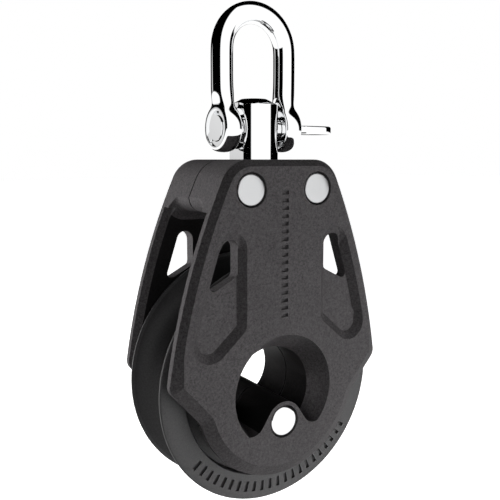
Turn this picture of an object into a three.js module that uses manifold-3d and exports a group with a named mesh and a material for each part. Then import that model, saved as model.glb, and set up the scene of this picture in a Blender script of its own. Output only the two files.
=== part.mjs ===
// Single sheave block with a swivel post and a bow shackle. Millimetres, +Z up.
// X runs along the shackle pin, Y along the sheave's axis, front cheek on the -Y side.
// Heights below are measured from the sheave's axis. The finished group is lowered so that the
// origin lies on the inside of the shackle's crown, where the block hangs.
import * as THREE from 'three';
import { mergeVertices } from 'three/addons/utils/BufferGeometryUtils.js';
import Module from 'manifold-3d';

const wasm = await Module();
wasm.setup();

// ---- driving dimensions ----
const SHEAVE_R = 20;              // nominal 40 mm sheave
const SHEAVE_HALF = 5.6;          // half its width at the flanges
const GROOVE_R = 5.2;             // rope groove, takes a 10 mm line
const GROOVE_ROOT_R = 15.3;
const RECESS_R = 15.75;           // sunk face inside the flange's flat ring
const RECESS_Y = 4.3;

const FACE_Y = 9.2;               // outer face of a cheek
const CHEEK_T = 3.0;
const CHAMFER = 1.0;              // along every edge of a cheek
const PARTING_GAP = 0.3;          // between the two cheek mouldings
const HEAD_TOP = 35.7;
const HEAD_FLOOR = 27.5;          // underside of the head, above the rope
const HEAD_CORNER = { x: 6.1, z: 30.7, r: 5 };
const HEAD_FLARE_R = 2.4;          // rounding of the head's lower side edges
const SIDE_R = 110;               // the gently bowed long sides
const SHOULDER = { x: 17.57, z: 2.9, r: 2 };
const SLOPE_DEG = -41.2;          // outward normal of the tuck below the shoulder
const TUCK_R = 3;                 // hollow fillet where the tuck meets the round end
const CHEEK_END_R = 14.9;         // round lower end, inside the sheave's rim

const POCKET_DEPTH = 1.6;
const POCKET_DRAFT = 0.9;         // how far a pocket's wall leans in over its depth
const POCKET_EDGE = 2.2;          // land between a pocket and the cheek's long side
const POCKET_TOP = { x: 9.6, z: 22.5, r: 2.6 };
const POCKET_LOW = { x: 13.2, z: 8.7, r: 3 };
const POCKET_CORNER_R = 2;
const POCKET_SLOPE_DEG = 229;     // outward normal of the slanted wall between corner and low end
const WINDOW_LOW = { x: 10.4, z: 18.0, deg: 243 };   // slanted lower edge and its normal

const EYE = { x: 0, z: -0.85, r: 9.15 };             // mouth of the eye through the hub
const FRONT_THROAT = { z: -1.9, r: 7.4, y: 5.2 };    // where the front mouth's funnel ends
const REAR_THROAT = { z: -0.6, r: 6.15, y: 5.8 };
const EYE_MIDDLE = { z: -1.2, r: 6.8, y: 0 };
const HUMP = { x: 0, z: -5.9, r: 3.3, deg: 33 };     // boss for the lower rivet
const TROUGH_R = 1.2;

const HUB_R = 10.55;              // inner ball track
const BALL_R = 1.6;
const BALL_PITCH_R = 12.27;
const BALLS_PER_ROW = 23;
const BALL_ROW_Y = 2.3;
const TRACK_R = 14.05;            // outer ball track, the sheave's bore
const RIB_R = 13.0;               // rib that parts the two ball rows
const RIB_HALF = 0.5;
const LIP = { r: 13.3, y: 4.2 };  // cheek's lip that keeps the balls in

const RIVET_HEAD = { r: 2.38, y: 9.25, t: 1.1, edge: 0.2 };
const RIVET_SHANK_R = 1.5;
const RIVET_SEAT = { r: 2.6, y: 8.0 };
const HEAD_RIVET = { x: 6.15, z: 31.2 };
const FIT = 0.15;                 // radial play of a rivet in its hole

const POST_R = 3.95;
const POST_TOP = 45.3;
const POST_CONE = { r: 2.1, h: 0.95 };
const POST_FLAT = 3.3;            // half the width across the flats
const POST_DISH_R = 13;           // hollow in each flat, clear of the shackle's ears
const POST_DISH = 0.45;
const POST_BORE_R = 4.15;
const FLAT_START = 34.6;
const BUTTON = { r: 5.6, low: 27.5, high: 28.5, edge: 0.6 };
const BUTTON_SEAT = { r: 6.1, z: 29.25 };
const WASHER = { r: 5.7, bore: 4.15, low: 28.65, high: 29.1 };

const PIN_Z = 40.6;
const PIN_R = 2.0;
const PIN_BORE_R = 2.12;
const EAR = { r: 3.65, inner: 4.2, outer: 7.2, round: 1.2 };
const WIRE_R = 1.75;
const BOW_R = 5.9;                // wire's middle, at the crown and between the legs
const BOW_CENTRE_Z = 52.95;
const LEG_FOOT = { x: 5.7, z: 43, bend: 46.5 };
const KEY_SEAT = { r: 3.0, t: 0.9 };
const KEY = { reach: 2.75, w: 1.4, t: 0.6, deg: -36 };
const KEY_SLOT_W = 1.6;
const TAB = { start: 7.35, end: 15.2, w: 5.6, t: 1.3, taper: 1.2, hole: { x: 12.6, r: 1.1 } };

// ---- small helpers ----
const rad = THREE.MathUtils.degToRad;
const point = (x, z) => new THREE.Vector2(x, z);

function toSolid(geometry) {
  const plain = geometry.clone();
  plain.deleteAttribute('normal');
  plain.deleteAttribute('uv');
  const merged = mergeVertices(plain, 1e-5);
  const index = merged.index.array;
  const kept = [];
  for (let i = 0; i < index.length; i += 3) {
    const [a, b, c] = [index[i], index[i + 1], index[i + 2]];
    if (a !== b && b !== c && c !== a) kept.push(a, b, c);
  }
  const mesh = new wasm.Mesh({
    numProp: 3,
    vertProperties: new Float32Array(merged.attributes.position.array),
    triVerts: new Uint32Array(kept),
  });
  return new wasm.Manifold(mesh);
}

function toGeometry(solid) {
  const mesh = solid.getMesh();
  const geometry = new THREE.BufferGeometry();
  geometry.setAttribute('position', new THREE.BufferAttribute(mesh.vertProperties, 3));
  geometry.setIndex(new THREE.BufferAttribute(mesh.triVerts, 1));
  geometry.computeVertexNormals();
  return geometry;
}

// Points along an arc, close enough together that the chords stay within sag of it.
function arc(centre, r, from, to, sag = 0.05) {
  const step = 2 * Math.acos(1 - sag / Math.max(r, 2 * sag));
  const count = Math.max(2, Math.ceil(Math.abs(to - from) / step));
  const points = [];
  for (let i = 0; i <= count; i++) {
    const a = from + ((to - from) * i) / count;
    points.push(point(centre.x + r * Math.cos(a), centre.z + r * Math.sin(a)));
  }
  return points;
}

const mirrored = (points) => points.map((p) => point(-p.x, p.y)).reverse();
const bearing = (from, to) => Math.atan2(to.z - from.z, to.x - from.x);

// The left-hand one of the two places that lie ra from a and rb from b.
function meeting(a, ra, b, rb) {
  const gap = Math.hypot(b.x - a.x, b.z - a.z);
  const along = (gap * gap + ra * ra - rb * rb) / (2 * gap);
  const aside = Math.sqrt(ra * ra - along * along);
  const dir = bearing(a, b);
  return {
    x: a.x + along * Math.cos(dir) - aside * Math.sin(dir),
    z: a.z + along * Math.sin(dir) + aside * Math.cos(dir),
  };
}

// The place at distance reach along the normal at angle a, and r away from a centre.
function onLineAndCircle(a, reach, centre, r, side) {
  const n = { x: Math.cos(a), z: Math.sin(a) };
  const offset = reach - (centre.x * n.x + centre.z * n.z);
  const slide = side * Math.sqrt(r * r - offset * offset);
  return {
    x: centre.x + offset * n.x - slide * n.z,
    z: centre.z + offset * n.z + slide * n.x,
  };
}

// An outline in the X-Z plane made into a slab that runs from y0 to y1 (y0 < y1).
function slab(points, y0, y1) {
  const shape = new THREE.Shape(points);
  const geometry = new THREE.ExtrudeGeometry(shape, { depth: y1 - y0, bevelEnabled: false });
  geometry.rotateX(Math.PI / 2);
  geometry.translate(0, y1, 0);
  return toSolid(geometry);
}

// A body of revolution about Y from [radius, y] pairs that close on themselves or on the axis.
function turned(profile, segments) {
  const points = profile.map(([r, y]) => point(r, y));
  return new THREE.LatheGeometry(points, segments);
}

const cylinderY = (x, z, r, y0, y1, segments = 32) =>
  toSolid(turned([[0, y0], [r, y0], [r, y1], [0, y1]], segments).translate(x, 0, z));

// A round tunnel along Y through circles (stations) whose centres lie at different heights.
function tunnel(stations, segments = 48) {
  const first = stations[0];
  const last = stations[stations.length - 1];
  const geometry = turned([[0, first.y], ...stations.map((s) => [s.r, s.y]), [0, last.y]], segments);
  const position = geometry.attributes.position;
  for (let i = 0; i < position.count; i++) {
    const here = stations.find((s) => Math.abs(s.y - position.getY(i)) < 1e-3);
    position.setZ(i, position.getZ(i) + here.z);
  }
  return toSolid(geometry);
}

const upright = (geometry) => geometry.rotateX(Math.PI / 2);

// ---- cheek outline ----
const shoulderAngle = rad(SLOPE_DEG);
const sideCentre = meeting(SHOULDER, SIDE_R - SHOULDER.r, HEAD_CORNER, SIDE_R - HEAD_CORNER.r);
const lowSide = bearing(sideCentre, SHOULDER);
const highSide = bearing(sideCentre, HEAD_CORNER);

function cheekOutline() {
  const slope = SHOULDER.x * Math.cos(shoulderAngle) + SHOULDER.z * Math.sin(shoulderAngle);
  const axis = { x: 0, z: 0 };
  const tuck = onLineAndCircle(shoulderAngle, slope + SHOULDER.r + TUCK_R, axis, CHEEK_END_R + TUCK_R, 1);
  const endAngle = bearing(axis, tuck);
  const right = [
    ...arc(axis, CHEEK_END_R, rad(-90), endAngle).slice(1),
    ...arc(tuck, TUCK_R, endAngle + Math.PI, shoulderAngle + Math.PI).slice(1),
    ...arc(SHOULDER, SHOULDER.r, shoulderAngle, lowSide),
    ...arc(sideCentre, SIDE_R, lowSide, highSide).slice(1),
    ...arc(HEAD_CORNER, HEAD_CORNER.r, highSide, rad(90)).slice(1),
  ];
  return [point(0, -CHEEK_END_R), ...right, ...mirrored(right)];
}

// The outline of a pocket on the +X (side 1) or -X (side -1) half, drawn in by inset.
function pocketOutline(side, inset) {
  const sideR = SIDE_R - POCKET_EDGE - inset;
  const cornerR = POCKET_CORNER_R;
  const slopeAngle = rad(POCKET_SLOPE_DEG);
  const n = point(Math.cos(slopeAngle), Math.sin(slopeAngle));
  const reach = POCKET_LOW.x * n.x + POCKET_LOW.z * n.y + POCKET_LOW.r;
  const cornerX = POCKET_TOP.x - POCKET_TOP.r + cornerR;
  const corner = { x: cornerX, z: (reach - cornerR - cornerX * n.x) / n.y };
  const high = bearing(sideCentre, POCKET_TOP);
  const low = bearing(sideCentre, POCKET_LOW);
  const points = [
    ...arc(POCKET_TOP, POCKET_TOP.r - inset, high, Math.PI),
    ...arc(corner, cornerR - inset, Math.PI, slopeAngle),
    ...arc(POCKET_LOW, POCKET_LOW.r - inset, slopeAngle, 2 * Math.PI + low),
    ...arc(sideCentre, sideR, low, high).slice(1, -1),
  ];
  return side > 0 ? points : mirrored(points);
}

// The lower rivet's boss rises into the eye between two troughs. The rest of this outline lies
// just outside the eye's mouth, which the funnels shape.
function eyeOutline() {
  const flank = rad(HUMP.deg);
  const clearR = EYE.r + 0.4;
  const reach = HUMP.x * Math.cos(flank) + HUMP.z * Math.sin(flank) + HUMP.r + TROUGH_R;
  const trough = onLineAndCircle(flank, reach, EYE, clearR - TROUGH_R, -1);
  const side = bearing(EYE, trough);
  const right = [
    ...arc(HUMP, HUMP.r, rad(90), flank).slice(1),
    ...arc(trough, TROUGH_R, flank + Math.PI, side + 2 * Math.PI),
    ...arc(EYE, clearR, side, rad(90), 0.3).slice(1),
  ];
  return [point(0, HUMP.z + HUMP.r), ...right, ...mirrored(right.slice(0, -1))];
}

// ---- cheeks ----
function cheekPlate() {
  const geometry = new THREE.ExtrudeGeometry(new THREE.Shape(cheekOutline()), {
    depth: CHEEK_T - 2 * CHAMFER,
    bevelThickness: CHAMFER,
    bevelSize: CHAMFER,
    bevelOffset: -CHAMFER,
    bevelSegments: 1,
  });
  geometry.rotateX(Math.PI / 2);
  geometry.translate(0, -(FACE_Y - CHEEK_T + CHAMFER), 0);
  return toSolid(geometry);
}

// Half of the solid head, with its lower edges rounded for the rope.
function headHalf() {
  const r = HEAD_FLARE_R;
  const floor = HEAD_FLOOR + r;
  const sideAt = (z) => sideCentre.x + Math.sqrt(SIDE_R ** 2 - (z - sideCentre.z) ** 2);
  const low = { x: sideAt(floor) - r, z: floor };
  const right = [
    ...arc(low, r, rad(-90), 0),
    ...arc(sideCentre, SIDE_R, bearing(sideCentre, { x: sideAt(floor), z: floor }), highSide).slice(1),
    ...arc(HEAD_CORNER, HEAD_CORNER.r, highSide, rad(90)).slice(1),
  ];
  return slab([...right, ...mirrored(right)], CHAMFER - FACE_Y, -PARTING_GAP / 2);
}

// A pocket with walls that lean in towards its floor.
function pocketCutter(side) {
  const geometry = new THREE.ExtrudeGeometry(new THREE.Shape(pocketOutline(side, 0)), {
    depth: 1,
    bevelThickness: POCKET_DEPTH,
    bevelSize: POCKET_DRAFT,
    bevelOffset: -POCKET_DRAFT,
    bevelSegments: 1,
  });
  geometry.rotateX(Math.PI / 2);
  geometry.translate(0, -FACE_Y, 0);
  return toSolid(geometry);
}

// The window is the upper part of the pocket's floor, open right through.
function windowCutter(side) {
  const size = 40;
  const a = rad(WINDOW_LOW.deg);
  const below = new THREE.BoxGeometry(size, size, size).rotateY(-a);
  below.translate(WINDOW_LOW.x + (size / 2) * Math.cos(a), 0, WINDOW_LOW.z + (size / 2) * Math.sin(a));
  const floor = slab(pocketOutline(side, POCKET_DRAFT), -FACE_Y, 1 + CHEEK_T - FACE_Y);
  if (side < 0) below.rotateZ(Math.PI);
  return floor.subtract(toSolid(below));
}

function eyeCutter(throat) {
  const reach = 0.5;
  const flare = reach / (FACE_Y - throat.y);
  const outside = {
    y: -FACE_Y - reach,
    z: EYE.z + (EYE.z - throat.z) * flare,
    r: EYE.r + (EYE.r - throat.r) * flare,
  };
  const eye = tunnel([outside, { ...throat, y: -throat.y }, EYE_MIDDLE]);
  return eye.intersect(slab(eyeOutline(), -FACE_Y - 1, 1));
}

function postBore() {
  return toSolid(upright(turned([
    [0, HEAD_FLOOR - 1],
    [BUTTON_SEAT.r, HEAD_FLOOR - 1],
    [BUTTON_SEAT.r, BUTTON_SEAT.z],
    [POST_BORE_R, BUTTON_SEAT.z],
    [POST_BORE_R, HEAD_TOP + 1],
    [0, HEAD_TOP + 1],
  ], 32)));
}

const rivetPlaces = {
  head_rivet_left: [-HEAD_RIVET.x, HEAD_RIVET.z],
  head_rivet_right: [HEAD_RIVET.x, HEAD_RIVET.z],
  hub_rivet: [HUMP.x, HUMP.z],
};

function cheek(throat) {
  const inner = CHEEK_T - FACE_Y;
  let body = cheekPlate()
    .add(headHalf())
    .add(cylinderY(0, 0, HUB_R, inner - 0.5, -PARTING_GAP / 2, 48))
    .add(cylinderY(0, 0, LIP.r, inner - 0.5, -LIP.y, 48))
    .subtract(eyeCutter(throat))
    .subtract(postBore());
  for (const side of [1, -1]) {
    body = body.subtract(pocketCutter(side)).subtract(windowCutter(side));
  }
  for (const [x, z] of Object.values(rivetPlaces)) {
    body = body.subtract(cylinderY(x, z, RIVET_SHANK_R + FIT, -FACE_Y - 1, 1, 16));
    body = body.subtract(cylinderY(x, z, RIVET_SEAT.r, -FACE_Y - 1, -RIVET_SEAT.y, 32));
  }
  return toGeometry(body);
}

// ---- rivets ----
function rivet() {
  const head = RIVET_HEAD;
  const under = head.y - head.t;
  return turned([
    [0, -head.y],
    [head.r - head.edge, -head.y],
    [head.r, head.edge - head.y],
    [head.r, -under],
    [RIVET_SHANK_R, -under],
    [RIVET_SHANK_R, under],
    [head.r, under],
    [head.r, head.y - head.edge],
    [head.r - head.edge, head.y],
    [0, head.y],
  ], 28);
}

// ---- sheave and its two rows of balls ----
function sheave() {
  const rimEdge = 0.3;
  const mouth = Math.asin((GROOVE_ROOT_R + GROOVE_R - SHEAVE_R) / GROOVE_R);
  const half = [
    [RIB_R, RIB_HALF],
    [TRACK_R, RIB_HALF],
    [TRACK_R, RECESS_Y],
    [RECESS_R, RECESS_Y],
    [RECESS_R, SHEAVE_HALF],
    [SHEAVE_R - rimEdge, SHEAVE_HALF],
    [SHEAVE_R, SHEAVE_HALF - rimEdge / 2],
  ];
  const steps = 10;
  const groove = [];
  for (let i = 0; i <= steps; i++) {
    const a = mouth + ((Math.PI - 2 * mouth) * i) / steps;
    groove.push([GROOVE_ROOT_R + GROOVE_R - GROOVE_R * Math.sin(a), -GROOVE_R * Math.cos(a)]);
  }
  const low = half.map(([r, y]) => [r, -y]);
  const profile = [...low, ...groove, ...half.reverse()];
  return turned([...profile, profile[0]], 56);
}

function ballPlaces() {
  const places = {};
  for (const [row, y] of Object.entries({ front: -BALL_ROW_Y, rear: BALL_ROW_Y })) {
    for (let i = 0; i < BALLS_PER_ROW; i++) {
      const a = (2 * Math.PI * i) / BALLS_PER_ROW;
      const name = `ball_${row}_${String(i + 1).padStart(2, '0')}`;
      places[name] = [BALL_PITCH_R * Math.sin(a), y, BALL_PITCH_R * Math.cos(a)];
    }
  }
  return places;
}

// ---- swivel post ----
// Closed about the X axis, as turned() is about Y.
const turnedX = (profile, segments) => turned(profile, segments).rotateZ(-Math.PI / 2);

function dishCutter(side) {
  const reach = 3.6;
  const steps = 6;
  const profile = [];
  for (let i = 0; i <= steps; i++) {
    const r = (reach * i) / steps;
    profile.push([r, POST_FLAT - POST_DISH + POST_DISH_R - Math.sqrt(POST_DISH_R ** 2 - r ** 2)]);
  }
  profile.push([reach, POST_R + 1], [0, POST_R + 1]);
  const cap = turnedX(profile, 32);
  if (side < 0) cap.rotateZ(Math.PI);
  return toSolid(cap.translate(0, 0, PIN_Z));
}

function swivelPost() {
  const shank = upright(turned([
    [0, BUTTON.low],
    [BUTTON.r - BUTTON.edge, BUTTON.low],
    [BUTTON.r, BUTTON.low + BUTTON.edge],
    [BUTTON.r, BUTTON.high],
    [POST_R, BUTTON.high],
    [POST_R, POST_TOP - POST_CONE.h],
    [POST_CONE.r, POST_TOP],
    [0, POST_TOP],
  ], 40));
  let post = toSolid(shank);
  const height = POST_TOP - FLAT_START + 1;
  for (const side of [1, -1]) {
    const flat = new THREE.BoxGeometry(POST_R, 4 * POST_R, height);
    flat.translate(side * (POST_FLAT + POST_R / 2), 0, FLAT_START + height / 2);
    post = post.subtract(toSolid(flat)).subtract(dishCutter(side));
  }
  const eye = turnedX([[0, -POST_R - 1], [PIN_BORE_R, -POST_R - 1], [PIN_BORE_R, POST_R + 1], [0, POST_R + 1]], 32);
  return toGeometry(post.subtract(toSolid(eye.translate(0, 0, PIN_Z))));
}

function thrustWasher() {
  const { r, bore, low, high } = WASHER;
  return upright(turned([[bore, low], [r, low], [r, high], [bore, high], [bore, low]], 40));
}

// ---- shackle ----
function ear(side) {
  const { r, inner, outer, round } = EAR;
  const rim = [
    ...arc({ x: r - round, z: inner + round }, round, rad(-90), 0),
    ...arc({ x: r - round, z: outer - round }, round, 0, rad(90)),
  ];
  const geometry = turnedX([[0, inner], ...rim.map((p) => [p.x, p.y]), [0, outer]], 40);
  if (side < 0) geometry.rotateZ(Math.PI);
  return toSolid(geometry.translate(0, 0, PIN_Z));
}

function bowWire() {
  const leg = [[LEG_FOOT.x, LEG_FOOT.z], [BOW_R, LEG_FOOT.bend], [BOW_R, (LEG_FOOT.bend + BOW_CENTRE_Z) / 2]];
  const crown = arc({ x: 0, z: BOW_CENTRE_Z }, BOW_R, 0, Math.PI, 0.02).map((p) => [p.x, p.y]);
  const left = leg.map(([x, z]) => [-x, z]).reverse();
  const route = [...leg, ...crown, ...left].map(([x, z]) => new THREE.Vector3(x, 0, z));
  const section = new THREE.Shape().absarc(0, 0, WIRE_R, 0, 2 * Math.PI, false);
  return toSolid(new THREE.ExtrudeGeometry(section, {
    curveSegments: 6,
    steps: 36,
    extrudePath: new THREE.CatmullRomCurve3(route),
  }));
}

function shackleBow() {
  const long = EAR.outer + 2;
  const eye = turnedX([[0, -long], [PIN_BORE_R, -long], [PIN_BORE_R, long], [0, long]], 32);
  const seatFloor = KEY_SEAT.t - EAR.outer;
  const seat = turnedX([[0, -long], [KEY_SEAT.r, -long], [KEY_SEAT.r, seatFloor], [0, seatFloor]], 32);
  const slot = new THREE.BoxGeometry(long - EAR.inner + 1, KEY_SLOT_W, KEY_SEAT.r);
  slot.translate(-(long + EAR.inner - 1) / 2, 0, PIN_Z + KEY_SEAT.r / 2);
  let bow = bowWire().add(ear(1)).add(ear(-1));
  for (const cut of [eye, seat]) {
    bow = bow.subtract(toSolid(cut.translate(0, 0, PIN_Z)));
  }
  return toGeometry(bow.subtract(toSolid(slot)));
}

// The pin is turned by its flat tab; a small key near its tip locks it behind the ear's slot.
function shacklePin() {
  const tip = 0.25 - EAR.outer;
  const shank = turnedX([[0, tip], [PIN_R, tip], [PIN_R, TAB.start + 0.2], [0, TAB.start + 0.2]], 32);
  const outline = new THREE.Shape();
  outline.moveTo(TAB.start + TAB.taper, TAB.w / 2);
  outline.lineTo(TAB.start, PIN_R);
  outline.lineTo(TAB.start, -PIN_R);
  outline.lineTo(TAB.start + TAB.taper, -TAB.w / 2);
  outline.absarc(TAB.end - TAB.w / 2, 0, TAB.w / 2, rad(-90), rad(90), false);
  outline.holes.push(new THREE.Path().absarc(TAB.hole.x, 0, TAB.hole.r, 0, 2 * Math.PI, true));
  const tab = new THREE.ExtrudeGeometry(outline, { depth: TAB.t, bevelEnabled: false, curveSegments: 10 });
  tab.translate(0, 0, -TAB.t / 2);
  const key = new THREE.BoxGeometry(KEY.t, KEY.reach - 1, KEY.w);
  key.translate(tip + KEY.t / 2, 1 + (KEY.reach - 1) / 2, 0).rotateX(rad(KEY.deg));
  const pin = toSolid(shank).add(toSolid(tab)).add(toSolid(key));
  return toGeometry(pin).translate(0, 0, PIN_Z);
}

// ---- finishes ----
const finish = (color, roughness, metalness) =>
  new THREE.MeshStandardMaterial({ color, roughness, metalness });
const filledNylon = finish(0x2b2a2b, 0.62, 0);
const acetal = finish(0x262526, 0.5, 0);
const whiteAcetal = finish(0xe8e6df, 0.35, 0);
const polishedSteel = finish(0xdfe1e3, 0.08, 1);
const satinSteel = finish(0xc9cacc, 0.32, 1);

// ---- assembly ----
const block = new THREE.Group();

function place(name, geometry, material, position = [0, 0, 0], turn = 0) {
  const mesh = new THREE.Mesh(geometry, material);
  mesh.name = name;
  mesh.position.set(...position);
  mesh.rotation.z = turn;
  block.add(mesh);
}

place('cheek_front', cheek(FRONT_THROAT), filledNylon);
place('cheek_rear', cheek(REAR_THROAT), filledNylon, [0, 0, 0], Math.PI);
place('sheave', sheave(), acetal);
for (const [name, position] of Object.entries(ballPlaces())) {
  place(name, new THREE.IcosahedronGeometry(BALL_R, 1), whiteAcetal, position);
}
for (const [name, [x, z]] of Object.entries(rivetPlaces)) {
  place(name, rivet(), satinSteel, [x, 0, z]);
}
place('swivel_post', swivelPost(), polishedSteel);
place('thrust_washer', thrustWasher(), whiteAcetal);
place('shackle_bow', shackleBow(), polishedSteel);
place('shackle_pin', shacklePin(), polishedSteel);

block.position.z = -(BOW_CENTRE_Z + BOW_R - WIRE_R);
const part = new THREE.Group();
part.add(block);

export default part;
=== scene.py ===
# Single sheave block: moulded cheeks, ball-bearing sheave, swivel post and bow shackle.
from math import acos, asin, atan2, cos, degrees, hypot, pi, radians, sin, sqrt, tan
import bmesh
import bpy
from mathutils import Matrix, Vector


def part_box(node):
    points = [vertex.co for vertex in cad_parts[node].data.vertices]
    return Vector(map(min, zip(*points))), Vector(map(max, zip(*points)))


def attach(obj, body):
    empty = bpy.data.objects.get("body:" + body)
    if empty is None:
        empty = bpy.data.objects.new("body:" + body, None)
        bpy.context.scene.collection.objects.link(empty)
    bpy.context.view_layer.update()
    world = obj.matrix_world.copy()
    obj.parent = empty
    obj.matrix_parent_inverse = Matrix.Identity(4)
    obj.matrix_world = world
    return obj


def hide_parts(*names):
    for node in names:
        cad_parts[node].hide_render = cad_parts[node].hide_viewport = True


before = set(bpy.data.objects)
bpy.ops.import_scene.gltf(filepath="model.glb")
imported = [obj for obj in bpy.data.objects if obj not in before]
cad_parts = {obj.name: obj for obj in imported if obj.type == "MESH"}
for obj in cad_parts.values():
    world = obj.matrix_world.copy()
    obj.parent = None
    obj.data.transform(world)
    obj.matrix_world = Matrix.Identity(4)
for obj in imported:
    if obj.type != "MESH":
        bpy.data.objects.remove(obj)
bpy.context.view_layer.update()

# Pieces are shaped in millimetres about the sheave's axis, then put into the frame.
sheaveLow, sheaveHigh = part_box("sheave")
axisHeight = (sheaveLow[2] + sheaveHigh[2]) / 2
toFrame = Matrix.Translation((0, 0, axisHeight)) @ Matrix.Scale(0.001, 4)
turnRound = Matrix.Rotation(pi, 4, "Z")
mergeGap = {"outline": 1e-3, "solid": 1e-4, "piece": 2e-3}


# Small modelling helpers
def bearing(a, b):
    return atan2(b[1] - a[1], b[0] - a[0])


def meetingPoint(a, ra, b, rb):
    # left-hand one of the two points that lie ra from a and rb from b
    gap = hypot(b[0] - a[0], b[1] - a[1])
    along = (gap * gap + ra * ra - rb * rb) / (2 * gap)
    aside = sqrt(ra * ra - along * along)
    way = bearing(a, b)
    return (a[0] + along * cos(way) - aside * sin(way), a[1] + along * sin(way) + aside * cos(way))


def pointOnLine(angle, reach, centre, r, side):
    # point at distance reach along the normal at that angle, and r from the centre
    nx, nz = cos(angle), sin(angle)
    offset = reach - (centre[0] * nx + centre[1] * nz)
    slide = side * sqrt(r * r - offset * offset)
    return (centre[0] + offset * nx - slide * nz, centre[1] + offset * nz + slide * nx)


def mirroredArcs(arcs):
    return [((-x, z), r, pi - end, pi - start) for (x, z), r, start, end in reversed(arcs)]


def arcSteps(r, angle, sag=0.006):
    # enough steps to keep the straights within sag of the true arc
    return max(3, int(abs(angle) / (2 * acos(1 - sag / max(r, 4 * sag)))) + 1)


def onlyOf(kind, items):
    return [g for g in items if isinstance(g, kind)]


def traceFace(bm, arcs, y):
    # closed outline of arcs joined by straights, in the X-Z plane, filled with one face
    ends = []
    for centre, r, start, end in arcs:
        place = (centre[0] + r * cos(start), y, centre[1] + r * sin(start))
        first = bmesh.ops.create_vert(bm, co=place)["vert"][0]
        swung = bmesh.ops.spin(bm, geom=[first], cent=(centre[0], y, centre[1]), axis=(0, -1, 0),
                               angle=end - start, steps=arcSteps(r, end - start))
        ends.append((first, onlyOf(bmesh.types.BMVert, swung["geom_last"])[0]))
    for (_, last), (following, _) in zip(ends, ends[1:] + ends[:1]):
        bm.edges.new((last, following))
    bmesh.ops.remove_doubles(bm, verts=bm.verts, dist=mergeGap["outline"])
    bmesh.ops.contextual_create(bm, geom=bm.edges[:])
    return bm.faces[:][0]


def withRim(faces):
    return list({g for f in faces for g in (f, *f.edges, *f.verts)})


def pushCap(bm, face, dy, inset=0.0):
    # extrudes a cap along Y and draws its rim inwards by inset, a number or a function of height
    made = bmesh.ops.extrude_face_region(bm, geom=withRim([face]))
    cap = onlyOf(bmesh.types.BMFace, made["geom"])[0]
    cap.normal_update()
    moves = []
    for loop in cap.loops:
        before, here, after = loop.link_loop_prev.vert, loop.vert, loop.link_loop_next.vert
        along = (here.co - before.co).normalized() + (after.co - here.co).normalized()
        amount = inset(here.co.z) if callable(inset) else inset
        moves.append((here, cap.normal.cross(along.normalized()) * amount))
    for vert, move in moves:
        vert.co += move + Vector((0, dy, 0))
    return cap


def latheSolid(profile, axis, steps):
    # full spin of (radius, height) pairs about one axis
    bm = bmesh.new()
    out, up = {"X": ((0, 1, 0), (1, 0, 0)), "Y": ((1, 0, 0), (0, 1, 0)), "Z": ((1, 0, 0), (0, 0, 1))}[axis]
    tip = None
    for r, h in profile:
        place = Vector(out) * r + Vector(up) * h
        if tip is None:
            tip = bmesh.ops.create_vert(bm, co=place)["vert"][0]
        else:
            tip = bmesh.ops.extrude_vert_indiv(bm, verts=[tip])["verts"][0]
            tip.co = place
    bmesh.ops.spin(bm, geom=bm.verts[:] + bm.edges[:], cent=(0, 0, 0), axis=up,
                   angle=2 * pi, steps=steps, use_merge=True)
    bmesh.ops.remove_doubles(bm, verts=bm.verts, dist=mergeGap["solid"])
    bmesh.ops.recalc_face_normals(bm, faces=bm.faces)
    return bm


def roundCorner(centre, r, start, end, steps):
    # (radius, height) pairs along a corner of a lathe profile, angles in degrees
    angles = [radians(start + (end - start) * i / steps) for i in range(steps + 1)]
    return [(centre[0] + r * cos(a), centre[1] + r * sin(a)) for a in angles]


def addBox(bm, size, centre):
    made = bmesh.ops.create_cube(bm, size=1)["verts"]
    bmesh.ops.scale(bm, vec=size, verts=made)
    bmesh.ops.translate(bm, vec=centre, verts=made)
    return bm


def scratchObject(bm, name="scratch"):
    # turns a bmesh into an object in the scene and frees the bmesh
    bmesh.ops.remove_doubles(bm, verts=bm.verts, dist=mergeGap["solid"])
    bmesh.ops.recalc_face_normals(bm, faces=bm.faces)
    mesh = bpy.data.meshes.new(name)
    bm.to_mesh(mesh)
    bm.free()
    made = bpy.data.objects.new(name, mesh)
    bpy.context.scene.collection.objects.link(made)
    return made


def bakeModifiers(piece):
    graph = bpy.context.evaluated_depsgraph_get()
    baked = bpy.data.meshes.new_from_object(piece.evaluated_get(graph))
    old = piece.data
    piece.modifiers.clear()
    piece.data = baked
    bpy.data.meshes.remove(old)


def combine(piece, tool, how="DIFFERENCE"):
    cut = piece.modifiers.new("cut", "BOOLEAN")
    cut.operation = how
    cut.solver = "EXACT"
    cut.object = tool
    bakeModifiers(piece)
    bpy.data.objects.remove(tool)


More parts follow.
